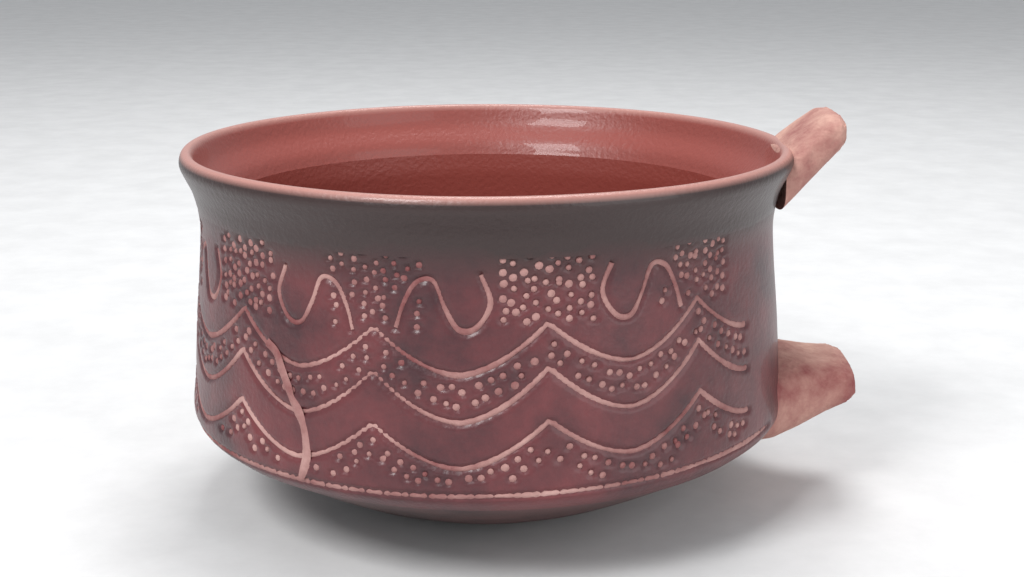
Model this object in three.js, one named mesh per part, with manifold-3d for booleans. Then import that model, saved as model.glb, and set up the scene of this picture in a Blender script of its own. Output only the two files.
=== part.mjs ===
// Bronze age carinated cup with incised, paste-filled ornament and the two stumps of a broken strap handle.
// Millimetres, +Z up, the pot's axis is Z, its resting disc lies on Z = 0 and the handle side is +X.
import * as THREE from 'three';
import { mergeVertices } from 'three/addons/utils/BufferGeometryUtils.js';
import Module from 'manifold-3d';

// Heights of the outer form, from the resting disc up
const CARINATION_FOOT_Z = 18.3;
const CARINATION_Z = 24;
const NECK_Z = 63.5;
const COLLAR_JOINT_Z = 68;
const LIP_EDGE_Z = 77.5;
const RIM_Z = 80;
const FLOOR_JOINT_Z = 6.6;

// Outer radii at those heights
const BASE_RADIUS = 25;
const FLOOR_JOINT_RADIUS = 41;
const CARINATION_FOOT_RADIUS = 62.5;
const CARINATION_RADIUS = 66.3;
const NECK_RADIUS = 63.1;
const COLLAR_JOINT_RADIUS = 63.5;
const LIP_RADIUS = 67;

// Wall and lip
const WALL = 5.5;
const FLOOR_THICKNESS = 6;
const LIP_THICKNESS = 2.8;
const FLOOR_SCARF = 13;

// Incised ornament: V grooves with paste set in them
const LINE_WIDTH = 1.7;
const LINE_DEPTH = 1.1;
const PASTE_SINK = 0.2;
const PASTE_CLEARANCE = 0.16;
const UNITS = 12;
const UNIT_PEAK_DEG = 11.3;
const ORNAMENT_TILT = 2.4;
const SCALLOP_POWER = 1.7;
const UPPER_ROW = { peak: 55, low: 46 };
const MIDDLE_ROW = { peak: 46.6, low: 36.9 };
const LOWER_ROW = { peak: 36.4, low: 28 };
const BASE_LINE_Z = 22.6;
const BASE_LINE_TILT = 1;

// The hook of one unit: degrees from the unit's middle and height, drawn from the arch's foot to the U's tip
const HOOK = [[-11, 54.6], [-9.8, 59], [-7.6, 63.2], [-4.6, 63.8], [-2.6, 58.8], [-0.2, 54.6],
  [2.8, 55], [5.2, 59.6], [3.6, 65]];
const HOOK_STEPS = 12;

// Strap handle, broken off at both ends
const STRAP_WIDTH = 25;
const STRAP_THICKNESS = 10;
const STRAP_SPREAD = 8;
const SEAT_GAP = 0.3;
const HANDLE_DEG = 90;
const ROWS_STOP_DEG = 34;
const BASE_LINE_STOP_DEG = 25;
const UPPER_STUMP_REACH = 77;
const LOWER_STUMP_REACH = 83;
const LOWER_STUMP_Z = 27;

const SEGMENTS = 60;
const STRAP_SIDES = 12;
const SCALLOP_STEPS = 6;

const wasm = await Module();
wasm.setup();

// A closed geometry as a solid for cutting
function solid(geometry) {
  const plain = geometry.clone();
  plain.deleteAttribute('normal');
  plain.deleteAttribute('uv');
  const merged = mergeVertices(plain, 1e-4);
  return new wasm.Manifold(new wasm.Mesh({
    numProp: 3,
    vertProperties: new Float32Array(merged.attributes.position.array),
    triVerts: new Uint32Array(merged.index.array),
  }));
}

// A cut solid back as a geometry
function geometryOf(body) {
  const mesh = body.getMesh();
  const geometry = new THREE.BufferGeometry();
  geometry.setAttribute('position', new THREE.BufferAttribute(new Float32Array(mesh.vertProperties), 3));
  geometry.setIndex(Array.from(mesh.triVerts));
  geometry.computeVertexNormals();
  return geometry;
}

// Outline points [radius, height] turned about Z; the outline closes on itself or on the axis
function turned(outline) {
  const points = outline.map(([radius, height]) => new THREE.Vector2(radius, height));
  points.push(points[0].clone());
  const geometry = new THREE.LatheGeometry(points, SEGMENTS);
  geometry.rotateX(Math.PI / 2);
  return geometry;
}

// Outer wall from the carination's foot to the collar joint, bottom to top
const wallOutside = [
  [CARINATION_FOOT_RADIUS, CARINATION_FOOT_Z],
  [CARINATION_RADIUS - 0.9, CARINATION_Z - 3.1],
  [CARINATION_RADIUS, CARINATION_Z],
  [CARINATION_RADIUS - 0.7, CARINATION_Z + 7],
  [(CARINATION_RADIUS + NECK_RADIUS) / 2, (CARINATION_Z + NECK_Z) / 2],
  [NECK_RADIUS + 0.5, NECK_Z - 8],
  [NECK_RADIUS, NECK_Z],
  [COLLAR_JOINT_RADIUS, COLLAR_JOINT_Z],
];

// Flared collar from its joint to the lip's top, bottom to top
const collarOutside = [
  [COLLAR_JOINT_RADIUS, COLLAR_JOINT_Z],
  [LIP_RADIUS - 2.4, COLLAR_JOINT_Z + 4],
  [LIP_RADIUS - 0.7, LIP_EDGE_Z - 2],
  [LIP_RADIUS, LIP_EDGE_Z],
  [LIP_RADIUS - 0.5, RIM_Z - 0.6],
  [LIP_RADIUS - LIP_THICKNESS / 2, RIM_Z],
];

// Bowl's underside from the floor joint out to the carination's foot
const bowlOutside = [
  [FLOOR_JOINT_RADIUS, FLOOR_JOINT_Z],
  [FLOOR_JOINT_RADIUS + 8, FLOOR_JOINT_Z + 4.2],
  [CARINATION_FOOT_RADIUS - 6, CARINATION_FOOT_Z - 3.3],
  [CARINATION_FOOT_RADIUS, CARINATION_FOOT_Z],
];

// Radius of the outer wall at a height
function wallRadius(height) {
  let index = 1;
  while (index < wallOutside.length - 1 && wallOutside[index][1] < height) {
    index += 1;
  }
  const [lowRadius, low] = wallOutside[index - 1];
  const [highRadius, high] = wallOutside[index];
  return lowRadius + (highRadius - lowRadius) * (height - low) / (high - low);
}

// Angle 0 faces -Y and 90 faces +X
function onWall(degrees, height) {
  const angle = THREE.MathUtils.degToRad(degrees);
  const radius = wallRadius(height);
  return new THREE.Vector3(radius * Math.sin(angle), -radius * Math.cos(angle), height);
}

// A V-section rib along a path of [degrees, height], closed by a triangle at each end
function rib(path, halfWidth, top, bottom) {
  const middle = path.map(([degrees, height]) => onWall(degrees, height));
  const positions = [];
  middle.forEach((point, index) => {
    const before = middle[Math.max(index - 1, 0)];
    const after = middle[Math.min(index + 1, middle.length - 1)];
    const along = after.clone().sub(before).normalize();
    const outward = new THREE.Vector3(point.x, point.y, 0).normalize();
    const across = new THREE.Vector3().crossVectors(along, outward).normalize();
    const upper = point.clone().addScaledVector(outward, top);
    positions.push(upper.clone().addScaledVector(across, halfWidth));
    positions.push(upper.clone().addScaledVector(across, -halfWidth));
    positions.push(point.clone().addScaledVector(outward, bottom));
  });
  const index = [];
  for (let step = 0; step < middle.length - 1; step += 1) {
    for (let side = 0; side < 3; side += 1) {
      const a = step * 3 + side;
      const b = step * 3 + (side + 1) % 3;
      index.push(a, b + 3, b, a, a + 3, b + 3);
    }
  }
  const last = (middle.length - 1) * 3;
  index.push(0, 1, 2, last, last + 2, last + 1);
  const geometry = new THREE.BufferGeometry();
  geometry.setAttribute('position', new THREE.Float32BufferAttribute(positions.flatMap((p) => p.toArray()), 3));
  geometry.setIndex(index);
  return geometry;
}

// The groove reaches past the surface on the same slopes, and the paste stops short of it on every side
const SLOPE = LINE_WIDTH / 2 / LINE_DEPTH;
const GROOVE_RISE = 0.6;

function grooveCutter(path) {
  return solid(rib(path, SLOPE * (LINE_DEPTH + GROOVE_RISE), GROOVE_RISE, -LINE_DEPTH));
}

function paste(path) {
  const bottom = PASTE_CLEARANCE - LINE_DEPTH;
  return rib(path, SLOPE * (-PASTE_SINK - bottom), -PASTE_SINK, bottom);
}

// Rows rise a little towards the handle, as on a pot turned in the hand while it is drawn
function tilt(degrees, amount) {
  return amount * Math.sin(THREE.MathUtils.degToRad(degrees));
}

const PITCH_DEG = 360 / UNITS;

function scallopRow(row) {
  const start = HANDLE_DEG + ROWS_STOP_DEG - 360;
  const end = HANDLE_DEG - ROWS_STOP_DEG;
  const count = Math.round((end - start) / PITCH_DEG * SCALLOP_STEPS);
  return Array.from({ length: count + 1 }, (_, step) => {
    const degrees = start + (end - start) * step / count;
    const turn = (degrees - UNIT_PEAK_DEG) / PITCH_DEG;
    const fromMiddle = Math.abs(2 * (turn - Math.floor(turn)) - 1);
    const height = row.low + (row.peak - row.low) * fromMiddle ** SCALLOP_POWER;
    return [degrees, height + tilt(degrees, ORNAMENT_TILT)];
  });
}

function baseLine() {
  const start = HANDLE_DEG + BASE_LINE_STOP_DEG - 360;
  const end = HANDLE_DEG - BASE_LINE_STOP_DEG;
  const count = Math.round((end - start) / 360 * SEGMENTS);
  return Array.from({ length: count + 1 }, (_, step) => {
    const degrees = start + (end - start) * step / count;
    return [degrees, BASE_LINE_Z + tilt(degrees, BASE_LINE_TILT)];
  });
}

function hookPath(unit) {
  const middle = UNIT_PEAK_DEG + PITCH_DEG * (unit + 0.5);
  const side = unit % 2 === 0 ? -1 : 1;
  const curve = new THREE.CatmullRomCurve3(HOOK.map(([degrees, height]) => (
    new THREE.Vector3(middle + side * degrees, height + tilt(middle, ORNAMENT_TILT), 0))));
  return curve.getPoints(HOOK_STEPS).map((point) => [point.x, point.y]);
}

// A strap lofted through rounded sections at [x, z, rise in degrees, width, thickness]
function strap(stations) {
  const positions = [];
  const index = [];
  for (const [x, z, rise, width, thickness] of stations) {
    const angle = THREE.MathUtils.degToRad(rise);
    for (let side = 0; side < STRAP_SIDES; side += 1) {
      const turn = (side + 0.5) / STRAP_SIDES * Math.PI * 2;
      const across = Math.sign(Math.cos(turn)) * Math.abs(Math.cos(turn)) ** 0.6 * width / 2;
      const up = Math.sign(Math.sin(turn)) * Math.abs(Math.sin(turn)) ** 0.6 * thickness / 2;
      positions.push(x - up * Math.sin(angle), across, z + up * Math.cos(angle));
    }
  }
  for (let step = 0; step < stations.length - 1; step += 1) {
    for (let side = 0; side < STRAP_SIDES; side += 1) {
      const a = step * STRAP_SIDES + side;
      const b = step * STRAP_SIDES + (side + 1) % STRAP_SIDES;
      index.push(a, b, b + STRAP_SIDES, a, b + STRAP_SIDES, a + STRAP_SIDES);
    }
  }
  const last = (stations.length - 1) * STRAP_SIDES;
  for (let side = 1; side < STRAP_SIDES - 1; side += 1) {
    index.push(0, side + 1, side, last, last + side, last + side + 1);
  }
  const geometry = new THREE.BufferGeometry();
  geometry.setAttribute('position', new THREE.Float32BufferAttribute(positions, 3));
  geometry.setIndex(index);
  return geometry;
}

const cup = new THREE.Group();

function add(name, geometry, color, roughness, parent = cup) {
  const mesh = new THREE.Mesh(geometry, new THREE.MeshStandardMaterial({ color, roughness, metalness: 0 }));
  mesh.name = name;
  parent.add(mesh);
  return mesh;
}

// Inner face of the wall, a wall's thickness inside the outer one
const inside = (outline) => outline.map(([radius, height]) => [radius - WALL, height]).reverse();
const innerFloorRadius = FLOOR_JOINT_RADIUS - FLOOR_SCARF;

const floorPad = turned([
  [0, 0],
  [BASE_RADIUS, 0],
  [BASE_RADIUS + 8, 3.1],
  [FLOOR_JOINT_RADIUS, FLOOR_JOINT_Z],
  [innerFloorRadius, FLOOR_JOINT_Z],
  [innerFloorRadius - 5, FLOOR_THICKNESS],
  [0, FLOOR_THICKNESS],
]);

const lowerBowl = turned([
  ...bowlOutside,
  [CARINATION_FOOT_RADIUS - WALL * 1.5, CARINATION_FOOT_Z],
  [FLOOR_JOINT_RADIUS + 2, FLOOR_JOINT_Z + 5.6],
  [innerFloorRadius, FLOOR_JOINT_Z],
]);

const wallInside = inside(wallOutside.slice(2));
const wallBlank = solid(turned([
  ...wallOutside,
  ...wallInside,
  [CARINATION_FOOT_RADIUS - WALL * 1.5, CARINATION_FOOT_Z],
]));

const rimCollar = turned([
  ...collarOutside,
  [LIP_RADIUS - LIP_THICKNESS, RIM_Z - 0.8],
  [LIP_RADIUS - LIP_THICKNESS - 1.8, RIM_Z - 5],
  [COLLAR_JOINT_RADIUS - WALL, COLLAR_JOINT_Z],
]);

// Paths of the incised lines, then the wall cut by all of them
const lines = {
  garland_upper: scallopRow(UPPER_ROW),
  garland_middle: scallopRow(MIDDLE_ROW),
  garland_lower: scallopRow(LOWER_ROW),
  base_line_inlay: baseLine(),
};
const firstUnit = Math.ceil((HANDLE_DEG + ROWS_STOP_DEG - 360 - UNIT_PEAK_DEG) / PITCH_DEG);
const lastUnit = Math.floor((HANDLE_DEG - ROWS_STOP_DEG - UNIT_PEAK_DEG) / PITCH_DEG) - 1;
for (let unit = firstUnit; unit <= lastUnit; unit += 1) {
  lines[`hook_inlay_${String(unit - firstUnit + 1).padStart(2, '0')}`] = hookPath(unit);
}
let wall = wallBlank;
for (const path of Object.values(lines)) {
  wall = wall.subtract(grooveCutter(path));
}

const CLAY = 0x6a3436;
const DARK_CLAY = 0x4a302e;
const PASTE = 0xc79f96;
const BREAK = 0xd6b0a2;

add('floor_pad', floorPad, DARK_CLAY, 0.7);
add('lower_bowl', lowerBowl, DARK_CLAY, 0.65);
add('body_wall', geometryOf(wall), CLAY, 0.55);
add('rim_collar', rimCollar, CLAY, 0.5);
for (const [name, path] of Object.entries(lines)) {
  add(name, paste(path), PASTE, 0.9);
}

// The strap's stumps are luted on, so each ends on the pot's outer form with the seat gap
const potOutside = solid(turned([
  [0, -SEAT_GAP],
  [BASE_RADIUS, -SEAT_GAP],
  ...[...bowlOutside, ...wallOutside.slice(1), ...collarOutside.slice(1, -1)].map(
    ([radius, height]) => [radius + SEAT_GAP, height]),
  [LIP_RADIUS - LIP_THICKNESS / 2, RIM_Z + SEAT_GAP],
  [0, RIM_Z + SEAT_GAP],
]));

const upperStump = solid(strap([
  [LIP_RADIUS - 2, RIM_Z - 6, 38, STRAP_WIDTH + STRAP_SPREAD, STRAP_THICKNESS + 7],
  [LIP_RADIUS + 4, RIM_Z, 42, STRAP_WIDTH + 2, STRAP_THICKNESS + 1.5],
  [UPPER_STUMP_REACH - 1.5, RIM_Z + 3.8, 44, STRAP_WIDTH, STRAP_THICKNESS],
  [UPPER_STUMP_REACH, RIM_Z + 4.6, 44, STRAP_WIDTH - 4, STRAP_THICKNESS - 3],
]));

const lowerStump = solid(strap([
  [CARINATION_RADIUS - 8, LOWER_STUMP_Z - 3, 0, STRAP_WIDTH + STRAP_SPREAD * 2, STRAP_THICKNESS * 2.1],
  [CARINATION_RADIUS + 2, LOWER_STUMP_Z - 1.6, 4, STRAP_WIDTH + STRAP_SPREAD, STRAP_THICKNESS * 1.6],
  [CARINATION_RADIUS + 8, LOWER_STUMP_Z - 0.4, 8, STRAP_WIDTH + 2, STRAP_THICKNESS * 1.15],
  [LOWER_STUMP_REACH - 3, LOWER_STUMP_Z + 0.3, 8, STRAP_WIDTH, STRAP_THICKNESS],
  [LOWER_STUMP_REACH, LOWER_STUMP_Z + 0.4, 8, STRAP_WIDTH - 6, STRAP_THICKNESS - 4],
]));

// Both stumps turn with the handle's place on the pot
const handleSide = new THREE.Group();
handleSide.rotation.z = THREE.MathUtils.degToRad(HANDLE_DEG - 90);
cup.add(handleSide);
add('upper_handle_root', geometryOf(upperStump.subtract(potOutside)), BREAK, 0.85, handleSide);
add('lower_handle_root', geometryOf(lowerStump.subtract(potOutside)), BREAK, 0.85, handleSide);

export default cup;
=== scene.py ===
import math
import bpy
import numpy as np
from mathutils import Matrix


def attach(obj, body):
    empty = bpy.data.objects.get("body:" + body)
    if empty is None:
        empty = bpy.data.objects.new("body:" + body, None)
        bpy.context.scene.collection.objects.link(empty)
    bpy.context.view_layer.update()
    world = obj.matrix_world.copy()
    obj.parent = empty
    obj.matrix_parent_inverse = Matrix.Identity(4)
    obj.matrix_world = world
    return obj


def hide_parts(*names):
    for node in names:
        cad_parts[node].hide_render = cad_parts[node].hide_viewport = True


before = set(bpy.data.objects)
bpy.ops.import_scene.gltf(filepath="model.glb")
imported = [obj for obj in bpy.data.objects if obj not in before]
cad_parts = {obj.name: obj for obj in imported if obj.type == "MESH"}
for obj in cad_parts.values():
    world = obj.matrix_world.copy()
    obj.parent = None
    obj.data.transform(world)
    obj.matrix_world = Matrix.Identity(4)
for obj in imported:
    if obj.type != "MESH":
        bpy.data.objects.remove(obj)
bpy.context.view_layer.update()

# Drum-shaped wall. A belt of red-brown clay, burnished with a pebble, with a smoked black band under the lip.
# The frieze of scalloped rows, hooks and dots was cut into it with a point before firing.
# Sizes are in millimetres and degrees; angle 0 faces -Y and the handle is at 90.
MM = 0.001
PITCH = 360 / 12
FIRST_PEAK = 11.3
HANDLE = 90
ROWS_STOP = 34
LINE_STOP = 25
ROWS_START = HANDLE + ROWS_STOP - 360
ROWS_END = HANDLE - ROWS_STOP
ROW_POINTS = 300
LINE_POINTS = 200
ROW_TILT = 2.4
LINE_TILT = 1
SCALLOP_POWER = 1.7
ROWS = {"garland_upper": (55, 46), "garland_middle": (46.6, 36.9), "garland_lower": (36.4, 28)}
LINE_HEIGHT = 22.6
HOOK = [(-11, 54.6), (-9.8, 59), (-7.6, 63.2), (-4.6, 63.8), (-2.6, 58.8),
        (-0.2, 54.6), (2.8, 55), (5.2, 59.6), (3.6, 65)]
WALL_OUTSIDE = [(62.5, 18.3), (65.4, 20.9), (66.3, 24), (65.6, 31), (64.7, 43.75),
                (63.6, 55.5), (63.1, 63.5), (63.5, 68)]
WALL_INSIDE = [(58, 68), (57.6, 63.5), (58.1, 55.5), (59.2, 43.75), (60.1, 31), (59.6, 25.5), (54.25, 18.3)]
WALL_COLUMNS = 560
DEGREE_LENGTH = 1.13
GROOVE_HALF = 1.15
GROOVE_DEPTH = 0.9
PIT_DEPTH = 0.7
DOT_ROW_DROPS = {"garland_upper": (2.6, 5.4), "garland_lower": (2.6, 5.2)}
DOT_ROW_STEP = 2.2
DOT_COLUMN_STEP = 1.9
DOT_RISE_STEP = 2.4
DOT_GROUND_FOOT = 55.5
DOT_SCATTER = (0.32, 0.36)
DOT_CLEARANCE = 1.9
DOT_LOWEST = 24.4
DOT_HIGHEST = 69
HAND_UNEVENNESS = 0.35
EVEN_FOOT = 8
WAVE_COUNT = 9


def smooth_line(points, steps):
    """A curve through the points. Each stretch is a Catmull-Rom cubic of its four nearest points, cut into
    equal steps of the cubic's parameter."""
    p = np.array(points, float)
    ends = np.vstack([2 * p[0] - p[1], p, 2 * p[-1] - p[-2]])
    t = np.linspace(0, 1, steps, endpoint=False)[:, None]
    stretches = []
    for a, b, c, d in zip(ends[:-3], ends[1:-2], ends[2:-1], ends[3:]):
        bend = 2 * a - 5 * b + 4 * c - d
        twist = 3 * b - a - 3 * c + d
        stretches.append(0.5 * (2 * b + (c - a) * t + bend * t**2 + twist * t**3))
    return np.vstack(stretches + [p[-1:]])


def dense(points, step):
    """The same broken line, cut into equal parts of about one step along its length."""
    points = np.array(points, float)
    lengths = np.r_[0, np.cumsum(np.hypot(*np.diff(points, axis=0).T))]
    at = np.linspace(0, lengths[-1], max(2, int(lengths[-1] / step) + 1))
    return np.column_stack([np.interp(at, lengths, points[:, 0]), np.interp(at, lengths, points[:, 1])])


def waves(phi, z, seed, scale):
    """The mean of slow sine waves over angle and height, each with its own number of turns, slant and phase."""
    local = np.random.default_rng(seed)
    total = np.zeros(np.broadcast(phi, z).shape)
    for _ in range(WAVE_COUNT):
        turns = local.integers(1, 9)
        total += np.sin(phi * turns + local.uniform(-1, 1) * z / scale + local.uniform(0, 6.28))
    return total / WAVE_COUNT


wall_line = smooth_line(WALL_OUTSIDE, steps=12)


def wall_radius(z):
    """Radius of the outer wall at a height, read off the smooth wall line."""
    return np.interp(z, wall_line[:, 1], wall_line[:, 0])


def tilt(degrees, amount=ROW_TILT):
    """The rows rise towards the handle by a sine of the angle."""
    return amount * np.sin(np.radians(degrees))


def row_path(peak, low):
    """Degrees and height of a scallop row. The height above a scallop's middle grows as a power of the
    distance from it, from the low to the peak where two scallops meet."""
    degrees = np.linspace(ROWS_START, ROWS_END, ROW_POINTS)
    turn = (degrees - FIRST_PEAK) / PITCH
    from_middle = np.abs(2 * (turn - np.floor(turn)) - 1)
    return np.column_stack([degrees, low + (peak - low) * from_middle**SCALLOP_POWER + tilt(degrees)])


def hook_path(unit):
    """Degrees and height of one unit's hook, mirrored in every other unit."""
    middle = FIRST_PEAK + PITCH * (unit + 0.5)
    side = -1 if unit % 2 == 0 else 1
    return smooth_line([(middle + side * degrees, z + tilt(middle)) for degrees, z in HOOK], steps=6)


paths = {name: row_path(*heights) for name, heights in ROWS.items()}
line_degrees = np.linspace(HANDLE + LINE_STOP - 360, HANDLE - LINE_STOP, LINE_POINTS)
paths["base_line_inlay"] = np.column_stack([line_degrees, LINE_HEIGHT + tilt(line_degrees, LINE_TILT)])
first_unit = math.ceil((ROWS_START - FIRST_PEAK) / PITCH)
last_unit = math.floor((ROWS_END - FIRST_PEAK) / PITCH) - 1
for unit in range(first_unit, last_unit + 1):
    paths["hook_inlay_%02d" % (unit - first_unit + 1)] = hook_path(unit)


def gap_to(degrees, z, points):
    """Distance over the wall, in mm, from each place to the nearest of some points."""
    across = (degrees[:, None] - points[None, :, 0]) * DEGREE_LENGTH
    return np.hypot(across, z[:, None] - points[None, :, 1]).min(axis=1)


rng = np.random.default_rng(7)


def dot_centres():
    """Degrees and height of every dot: two rows below the upper and the lower garland, and nine staggered
    columns of six between the hooks, all scattered a little and kept clear of the lines and the handle."""
    found = []
    for name, drops in DOT_ROW_DROPS.items():
        path = paths[name]
        for row, drop in enumerate(drops):
            degrees = np.arange(path[0, 0] + row * DOT_ROW_STEP / 2, path[-1, 0], DOT_ROW_STEP)
            found.append(np.column_stack([degrees, np.interp(degrees, path[:, 0], path[:, 1]) - drop]))
    column, step = (grid.ravel() for grid in np.meshgrid(np.arange(-4, 5), np.arange(6), indexing="ij"))
    for unit in range(first_unit, last_unit + 2):
        peak = FIRST_PEAK + PITCH * unit
        stagger = DOT_RISE_STEP / 2 * (column % 2)
        height = DOT_GROUND_FOOT + DOT_RISE_STEP * step + stagger + tilt(peak)
        found.append(np.column_stack([peak + column * DOT_COLUMN_STEP, height]))
    centres = np.vstack(found)
    centres += rng.normal(0, 1, centres.shape) * DOT_SCATTER
    degrees, z = centres.T
    kept = (degrees > ROWS_START) & (degrees < ROWS_END) & (z > DOT_LOWEST) & (z < DOT_HIGHEST)
    for path in paths.values():
        kept &= gap_to(degrees, z, path) > DOT_CLEARANCE
    return centres[kept]


dots = dot_centres()


def frieze_depth(degrees, z):
    """How far the wall is cut back: V grooves that shallow in proportion to the distance from a line, and pits
    that shallow with its square from a dot. It is worked out for some thousand places at a time."""
    batch = 4000
    depth = np.zeros(degrees.size)
    flat_degrees, flat_z = degrees.ravel(), z.ravel()
    for start in range(0, degrees.size, batch):
        part = slice(start, start + batch)
        place = flat_degrees[part], flat_z[part]
        line_gap = np.min([gap_to(*place, path) for path in paths.values()], axis=0)
        groove = GROOVE_DEPTH * np.clip(1 - line_gap / GROOVE_HALF, 0, 1)
        pit = PIT_DEPTH * np.clip(1 - (gap_to(*place, dots) / GROOVE_HALF)**2, 0, 1)
        depth[part] = groove + pit
    return depth.reshape(degrees.shape)


def grid_faces(rows, columns, wrap_rows=False):
    """Quads of a grid that closes round its columns and, if asked, round its rows too."""
    i = np.arange(rows if wrap_rows else rows - 1)[:, None]
    j = np.arange(columns)[None, :]
    after = (j + 1) % columns
    above = (i + 1) % rows
    quads = np.stack([i * columns + j, i * columns + after, above * columns + after, above * columns + j], -1)
    return quads.reshape(-1, 4).tolist()


def end_faces(rows, columns):
    """One many-sided face on a grid's first row and one on its last."""
    return [list(range(columns - 1, -1, -1)), list(range((rows - 1) * columns, rows * columns))]


def add_piece(name, points, faces, node, finish):
    """A smooth mesh from points in mm that keeps edges sharper than 50 degrees. It rides on the cup's one body
    and stands for its node, if it has one."""
    mesh = bpy.data.meshes.new(name)
    mesh.from_pydata((points.reshape(-1, 3) * MM).tolist(), [], faces)
    mesh.polygons.foreach_set("use_smooth", [True] * len(mesh.polygons))
    mesh.set_sharp_from_angle(angle=math.radians(50))
    mesh.materials.append(finish)
    obj = bpy.data.objects.new(name, mesh)
    bpy.context.scene.collection.objects.link(obj)
    if node:
        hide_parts(node)
    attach(obj, "root")


def turned(outline, columns, carved_rows=0):
    """An outline of radius and height turned about Z, with slow unevenness that fades out towards the foot. The
    first carved_rows of its rows are cut by the frieze."""
    phi = np.linspace(0, 2 * math.pi, columns, endpoint=False)[None, :]
    z = np.repeat(outline[:, 1:], columns, axis=1)
    unevenness = HAND_UNEVENNESS * waves(phi, z, seed=3, scale=12) * np.clip(z / EVEN_FOOT, 0, 1)
    radius = np.repeat(outline[:, :1], columns, axis=1) + unevenness
    degrees = np.degrees(phi) - 270 + 0 * z
    if carved_rows:
        radius[:carved_rows] -= frieze_depth(degrees[:carved_rows], z[:carved_rows])
    angle = np.radians(degrees)
    return np.stack([radius * np.sin(angle), -radius * np.cos(angle), z], -1)


def fired_clay(name, light, dark, roughness, bump, coat=0.0):
    """Clay in two mottled tones: a broad noise on object coordinates mixes them, and a fine noise lifts the
    grain."""
    mat = bpy.data.materials.new(name)
    mat.use_nodes = True
    nodes, links = mat.node_tree.nodes, mat.node_tree.links
    shader = nodes["Principled BSDF"]
    shader.inputs["Roughness"].default_value = roughness
    shader.inputs["Coat Weight"].default_value = coat
    place = nodes.new("ShaderNodeTexCoord")
    place.name = "place"
    mottle = nodes.new("ShaderNodeTexNoise")
    mottle.name = "mottle"
    mottle.inputs["Scale"].default_value = 45
    mottle.inputs["Detail"].default_value = 8
    mottle.inputs["Roughness"].default_value = 0.65
    links.new(place.outputs["Object"], mottle.inputs["Vector"])
    tone = nodes.new("ShaderNodeValToRGB")
    tone.name = "tone"
    for element, position, colour in zip(tone.color_ramp.elements, (0.36, 0.64), (dark, light)):
        element.position = position
        element.color = (*colour, 1)
    links.new(mottle.outputs["Fac"], tone.inputs["Fac"])
    links.new(tone.outputs["Color"], shader.inputs["Base Color"])
    grain = nodes.new("ShaderNodeTexNoise")
    grain.inputs["Scale"].default_value = 900
    grain.inputs["Detail"].default_value = 6
    links.new(place.outputs["Object"], grain.inputs["Vector"])
    relief = nodes.new("ShaderNodeBump")
    relief.inputs["Strength"].default_value = bump
    relief.inputs["Distance"].default_value = 0.0004
    links.new(grain.outputs["Fac"], relief.inputs["Height"])
    links.new(relief.outputs["Normal"], shader.inputs["Normal"])
    return mat


# The burnished clay's heights and radii are in metres, as its shader reads them
SMOKED_EDGE = (0.0685, 0.0765)
SMOKED_RAGGEDNESS = 0.014
LINED_HEIGHTS = (0.070, 0.0795)
LINED_RADII = (0.0612, 0.0648)
WORN_HEIGHTS = (0.0785, 0.0797)
SMOKED_BLACK = (0.03, 0.014, 0.013)
LINING_ORANGE = (0.27, 0.055, 0.042)
WORN_PINK = (0.42, 0.2, 0.17)


def burnished_clay():
    """Clay of the wall and the lip. The mottle pushes the edge of the smoked band up and down, what lies
    within a radius that follows the wall is orange-red, and the lip's top is worn pale."""
    mat = fired_clay("burnished_clay", light=(0.155, 0.03, 0.034), dark=(0.05, 0.012, 0.016),
                     roughness=0.42, bump=0.45, coat=0.15)
    nodes, links = mat.node_tree.nodes, mat.node_tree.links
    place = nodes["place"].outputs["Object"]

    def ranged(value, start, end, low=0.0, high=1.0):
        """A value mapped in proportion from one range to another, and held at its ends."""
        node = nodes.new("ShaderNodeMapRange")
        for socket, number in (("From Min", start), ("From Max", end), ("To Min", low), ("To Max", high)):
            node.inputs[socket].default_value = number
        links.new(value, node.inputs["Value"])
        return node.outputs["Result"]

    def painted(under, colour, cover):
        """A colour laid over another as thickly as the cover says."""
        node = nodes.new("ShaderNodeMix")
        node.data_type = "RGBA"
        node.inputs["B"].default_value = (*colour, 1)
        links.new(under, node.inputs["A"])
        links.new(cover, node.inputs["Factor"])
        return node.outputs["Result"]

    split = nodes.new("ShaderNodeSeparateXYZ")
    links.new(place, split.inputs["Vector"])
    height = split.outputs["Z"]
    ragged = nodes.new("ShaderNodeMath")
    ragged.operation = "MULTIPLY_ADD"
    ragged.inputs[1].default_value = SMOKED_RAGGEDNESS
    links.new(nodes["mottle"].outputs["Fac"], ragged.inputs[0])
    links.new(height, ragged.inputs[2])
    below_lip = ranged(ragged.outputs["Value"], *SMOKED_EDGE)
    smoked = painted(nodes["tone"].outputs["Color"], SMOKED_BLACK, below_lip)
    level = nodes.new("ShaderNodeVectorMath")
    level.operation = "MULTIPLY"
    level.inputs[1].default_value = (1, 1, 0)
    links.new(place, level.inputs[0])
    radius = nodes.new("ShaderNodeVectorMath")
    radius.operation = "LENGTH"
    links.new(level.outputs["Vector"], radius.inputs[0])
    within = nodes.new("ShaderNodeMath")
    within.operation = "LESS_THAN"
    links.new(radius.outputs["Value"], within.inputs[0])
    links.new(ranged(height, *LINED_HEIGHTS, *LINED_RADII), within.inputs[1])
    lined = painted(smoked, LINING_ORANGE, within.outputs["Value"])
    worn = painted(lined, WORN_PINK, ranged(height, *WORN_HEIGHTS))
    links.new(worn, nodes["Principled BSDF"].inputs["Base Color"])
    return mat


burnished = burnished_clay()
outer_wall = dense(wall_line, step=0.36)
wall_outline = np.vstack([outer_wall, dense(WALL_INSIDE, step=1.5)])
wall_points = turned(wall_outline, WALL_COLUMNS, carved_rows=len(outer_wall))
wall_faces = grid_faces(len(wall_outline), WALL_COLUMNS, wrap_rows=True)
add_piece("wall_skin", wall_points, wall_faces, "body_wall", burnished)

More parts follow.
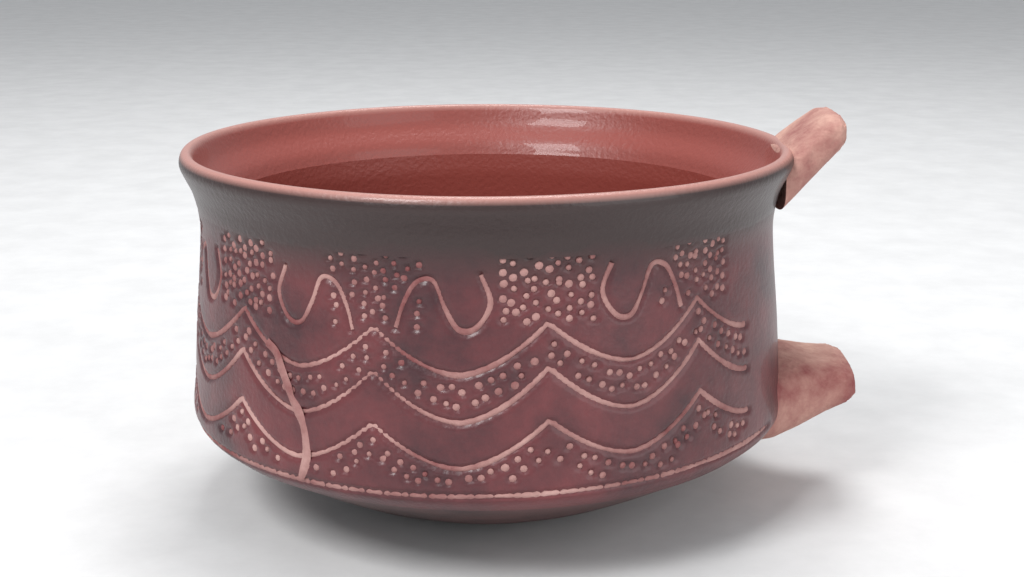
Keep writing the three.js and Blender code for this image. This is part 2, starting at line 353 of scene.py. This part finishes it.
# Flared collar and lip. A coil of the same clay, drawn out thin and smoothed with a wet hand.
# Its profile is one closed line over the lip and down the inside.
LIP_OUTLINE = [(63.5, 68), (64.6, 72), (66.3, 75.6), (67, 77.5), (66.6, 79.3),
               (65.6, 80), (64.3, 79.3), (62.5, 75), (59.4, 71), (58, 68)]
LIP_COLUMNS = 420

lip_outline = smooth_line(LIP_OUTLINE, steps=7)
lip_faces = grid_faces(len(lip_outline), LIP_COLUMNS, wrap_rows=True)
add_piece("collar_skin", turned(lip_outline, LIP_COLUMNS), lip_faces, "rim_collar", burnished)

# Shallow belt under the shoulder. Its clay is painted darker, as painted shade on the underside.
# It is pressed on to the floor along a slanting joint.
BOWL_OUTSIDE = [(41, 6.6), (49, 10.8), (56.5, 15), (62.5, 18.3)]
BOWL_INSIDE = [(54.25, 18.3), (43, 12.2), (28, 6.6)]
BOWL_COLUMNS = 300

# Darker tones of the belt and the floor: painted shade on the underside of the cup.
painted_shade = fired_clay("painted_shade_clay", light=(0.1, 0.04, 0.038), dark=(0.035, 0.018, 0.018),
                    roughness=0.5, bump=0.4)
bowl_outline = np.vstack([smooth_line(BOWL_OUTSIDE, steps=6), smooth_line(BOWL_INSIDE, steps=6)])
bowl_faces = grid_faces(len(bowl_outline), BOWL_COLUMNS, wrap_rows=True)
add_piece("bowl_skin", turned(bowl_outline, BOWL_COLUMNS), bowl_faces, "lower_bowl", painted_shade)

# Floor. A disc of clay, flattened on the bench so that the cup stands on it.
# Its underside and its inside each close in a tiny face on the axis.
FLOOR_UNDER = [(0.4, 0), (25, 0), (33, 3.1), (41, 6.6)]
FLOOR_TOP = [(28, 6.6), (23, 6), (0.4, 6)]
FLOOR_COLUMNS = 160

floor_outline = np.vstack([dense(FLOOR_UNDER, step=2), dense(FLOOR_TOP, step=2)])
floor_grid = len(floor_outline), FLOOR_COLUMNS
floor_faces = grid_faces(*floor_grid) + end_faces(*floor_grid)
# The floor takes the belt's darker clay, painted shade on the underside.
add_piece("floor_skin", turned(floor_outline, FLOOR_COLUMNS), floor_faces, "floor_pad", painted_shade)

# Paste in the grooves. Pale crushed bone or chalk, pressed into each line after firing and rubbed level.
# Each line's paste is its own strip, a little uneven in width. The section below is in shares of the half
# width across, and in mm out of the wall.
PASTE_HALF = 0.66
PASTE_WAVER = 0.12
PASTE_NARROWEST = 0.35
PASTE_SECTION = [(-1, -0.62), (-0.55, -0.36), (0, -0.28), (0.55, -0.36), (1, -0.62), (0, -1.1)]
FEWEST_STATIONS = 24

pale_paste = fired_clay("pale_paste", light=(0.52, 0.31, 0.28), dark=(0.2, 0.06, 0.06),
                        roughness=0.85, bump=0.6)


def strip(name, path, node, half_width=PASTE_HALF, lift=0.0):
    """A section of six points carried along a path on the wall. Across is square to the path and to the way
    out of the wall, and the half width wavers between random values three stations apart."""
    count = max(FEWEST_STATIONS, len(path))
    t = np.linspace(0, 1, count)
    source = np.linspace(0, 1, len(path))
    angle = np.radians(np.interp(t, source, path[:, 0]))
    z = np.interp(t, source, path[:, 1])
    out = np.column_stack([np.sin(angle), -np.cos(angle), 0 * z])
    centre = out * wall_radius(z)[:, None] + np.column_stack([0 * z, 0 * z, z])
    along = np.gradient(centre, axis=0)
    along /= np.linalg.norm(along, axis=1)[:, None]
    across = np.cross(along, out)
    waver = np.interp(t, np.linspace(0, 1, count // 3), rng.normal(0, 1, count // 3))
    half = np.clip(half_width + PASTE_WAVER * waver, PASTE_NARROWEST, 2 * half_width)[:, None]
    edges = [centre + across * (half * share) + out * (rise + lift) for share, rise in PASTE_SECTION]
    faces = grid_faces(count, len(PASTE_SECTION)) + end_faces(count, len(PASTE_SECTION))
    add_piece(name + "_paste", np.stack(edges, 1), faces, node, pale_paste)


for name, path in paths.items():
    strip(name, path, name)

# Crack through the left of the frieze, from an old break of the cup.
# It was mended with pale pink filler, smoothed nearly level with the wall.
CRACK = [(-41.1, 47.9), (-38.7, 46.3), (-37.3, 43.4), (-35.8, 40.4), (-34.8, 38),
         (-33.4, 35.9), (-32, 32.5), (-31.3, 28), (-31.5, 25.3), (-32.5, 22.5)]
CRACK_HALF = 0.95
CRACK_LIFT = 0.6

strip("crack_filler", smooth_line(CRACK, steps=5), None, CRACK_HALF, CRACK_LIFT)

# Dots. The same paste, pressed into round pits that were pricked with a blunt point.
# One low dome for each pit, eight-sided, flat at its top and its bottom.
DOT_SIDES = 8
DOT_REACH = np.array([1, 1, 0.55])
DOT_RISE = np.array([-0.9, -0.45, -0.22])
DOT_SIZES = (0.55, 0.85)


def dot_domes():
    """Three rings of points round each dot's centre, for every dot at once: size times reach over the wall,
    and rise along the way out of it."""
    angle = np.radians(dots[:, 0])
    out = np.column_stack([np.sin(angle), -np.cos(angle), 0 * angle])
    side = np.column_stack([np.cos(angle), np.sin(angle), 0 * angle])
    centre = out * wall_radius(dots[:, 1])[:, None] + dots[:, 1:] * (0, 0, 1)
    size = rng.uniform(*DOT_SIZES, len(dots))
    turn = np.arange(DOT_SIDES)[None, :, None] * 2 * math.pi / DOT_SIDES
    ring = side[:, None, :] * np.cos(turn) + np.sin(turn) * (0, 0, 1)
    reach = (size[:, None] * DOT_REACH)[:, :, None, None]
    rise = out[:, None, None, :] * DOT_RISE[None, :, None, None]
    points = centre[:, None, None, :] + rise + ring[:, None] * reach
    dome = len(DOT_REACH), DOT_SIDES
    first = np.arange(len(dots))[:, None, None] * len(DOT_REACH) * DOT_SIDES
    sides = (first + np.array(grid_faces(*dome))).reshape(-1, 4)
    ends = (first + np.array(end_faces(*dome))).reshape(-1, DOT_SIDES)
    add_piece("dot_paste", points, sides.tolist() + ends.tolist(), None, pale_paste)


dot_domes()

# Stumps of the strap handle. Coarse clay, luted to the lip and to the shoulder.
# The strap broke away from both, and the breaks have since worn round and pale.
# Each station is x, z, rise in degrees, width and thickness.
UPPER_STUMP = [(63.8, 72.4, 0, 33, 12.8), (66.5, 75, 0, 31, 12.8), (70, 78.2, 0, 27, 12.4),
               (73.6, 81.4, 0, 25.5, 11), (76, 82.8, 0, 24, 8.6), (77.3, 83.2, 0, 21, 6),
               (77.8, 83.3, 0, 14, 3)]
LOWER_STUMP = [(56, 22.5, 0, 46, 17), (63, 23.6, 3, 40, 18.5), (69, 24.4, 6, 31, 16.5),
               (75, 25.6, 8, 27, 12.5), (80, 26.6, 8, 25, 10), (82.2, 27, 8, 21, 7.5),
               (82.9, 27.1, 8, 12, 3)]
STUMP_ROWS = 46
STUMP_SIDES = 56
STUMP_ROUNDING = 0.7
BREAK_ROUGHNESS = 0.22
STUMP_LUMPS = 0.3

worn_break = fired_clay("broken_clay", light=(0.6, 0.36, 0.29), dark=(0.24, 0.06, 0.06),
                        roughness=0.85, bump=0.9)


def stump(name, stations, node):
    """Rounded sections along the stations. Each coordinate is a cosine or sine to a power, which squares the
    section, with slow lumps, and a random roughness that grows as the cube of the way to the break."""
    line = np.array(stations, float)
    t = np.linspace(0, len(line) - 1, STUMP_ROWS)
    x, z, rise, width, thick = (np.interp(t, np.arange(len(line)), values)[:, None] for values in line.T)
    turn = (np.arange(STUMP_SIDES) + 0.5) / STUMP_SIDES * 2 * math.pi
    across = np.sign(np.cos(turn)) * np.abs(np.cos(turn))**STUMP_ROUNDING
    up = np.sign(np.sin(turn)) * np.abs(np.sin(turn))**STUMP_ROUNDING
    rough = (t / t[-1])[:, None]**3 * rng.normal(0, BREAK_ROUGHNESS, (STUMP_ROWS, STUMP_SIDES))
    lumps = STUMP_LUMPS * waves(turn[None, :], t[:, None] * 3, seed=5, scale=4)
    sideways = (width / 2 + rough + lumps) * across
    lift = (thick / 2 + rough + lumps) * up
    angle = np.radians(rise)
    points = np.stack([x - lift * np.sin(angle), sideways, z + lift * np.cos(angle)], -1)
    faces = grid_faces(STUMP_ROWS, STUMP_SIDES) + end_faces(STUMP_ROWS, STUMP_SIDES)
    add_piece(name, points, faces, node, worn_break)


stump("upper_stump", UPPER_STUMP, "upper_handle_root")
stump("lower_stump", LOWER_STUMP, "lower_handle_root")

# Camera at the photograph's angle, raised 14 degrees and 346 mm from the point in the cup that it faces.
# Lengths are in millimetres.
AIM_X = 5.61
AIM_Z = 46.49
DISTANCE = 346.19
ELEVATION = math.radians(14.15)
LENS = 53.68

scene = bpy.context.scene
camera_data = bpy.data.cameras.new("camera")
camera_data.lens = LENS
camera = bpy.data.objects.new("camera", camera_data)
camera_back = -DISTANCE * math.cos(ELEVATION)
camera_height = AIM_Z + DISTANCE * math.sin(ELEVATION)
camera.location = (AIM_X * MM, camera_back * MM, camera_height * MM)
camera.rotation_euler = (math.radians(90) - ELEVATION, 0, 0)
scene.collection.objects.link(camera)
scene.camera = camera
scene.view_settings.view_transform = "Standard"

# Studio light: a key lamp from the upper left, a fill from the right, one lamp over the mouth and a pale world.
# Places and sizes are in metres.
CUP_MIDDLE = 0.05


def area_light(name, place, size, watts):
    """A square lamp that faces the cup's middle."""
    data = bpy.data.lights.new(name, "AREA")
    data.size = size
    data.energy = watts
    lamp = bpy.data.objects.new(name, data)
    lamp.location = place
    x, y, z = place
    lamp.rotation_euler = (math.atan2(math.hypot(x, y), z - CUP_MIDDLE), 0, math.atan2(x, -y))
    scene.collection.objects.link(lamp)


area_light("key", (-0.45, -0.6, 0.8), size=0.35, watts=8)
area_light("fill", (0.7, -0.6, 0.4), size=0.7, watts=3)
area_light("top", (0.05, 0.3, 0.9), size=0.4, watts=5)

world = bpy.data.worlds.new("studio")
scene.world = world
world.use_nodes = True
sky = world.node_tree.nodes["Background"]
sky.inputs["Color"].default_value = (0.9, 0.92, 0.95, 1)
sky.inputs["Strength"].default_value = 0.55

# Pale studio floor that the cup stands on, 6 m square. It isn't part of the object.
FLOOR_HALF = 3

floor_mesh = bpy.data.meshes.new("studio_floor")
floor_corners = [(x * FLOOR_HALF, y * FLOOR_HALF, 0) for x, y in ((-1, -1), (1, -1), (1, 1), (-1, 1))]
floor_mesh.from_pydata(floor_corners, [], [(0, 1, 2, 3)])
studio_grey = fired_clay("studio_grey", light=(0.72, 0.72, 0.72), dark=(0.66, 0.66, 0.66),
                         roughness=0.8, bump=0.05)
floor_mesh.materials.append(studio_grey)
studio_floor = bpy.data.objects.new("studio_floor", floor_mesh)
scene.collection.objects.link(studio_floor)
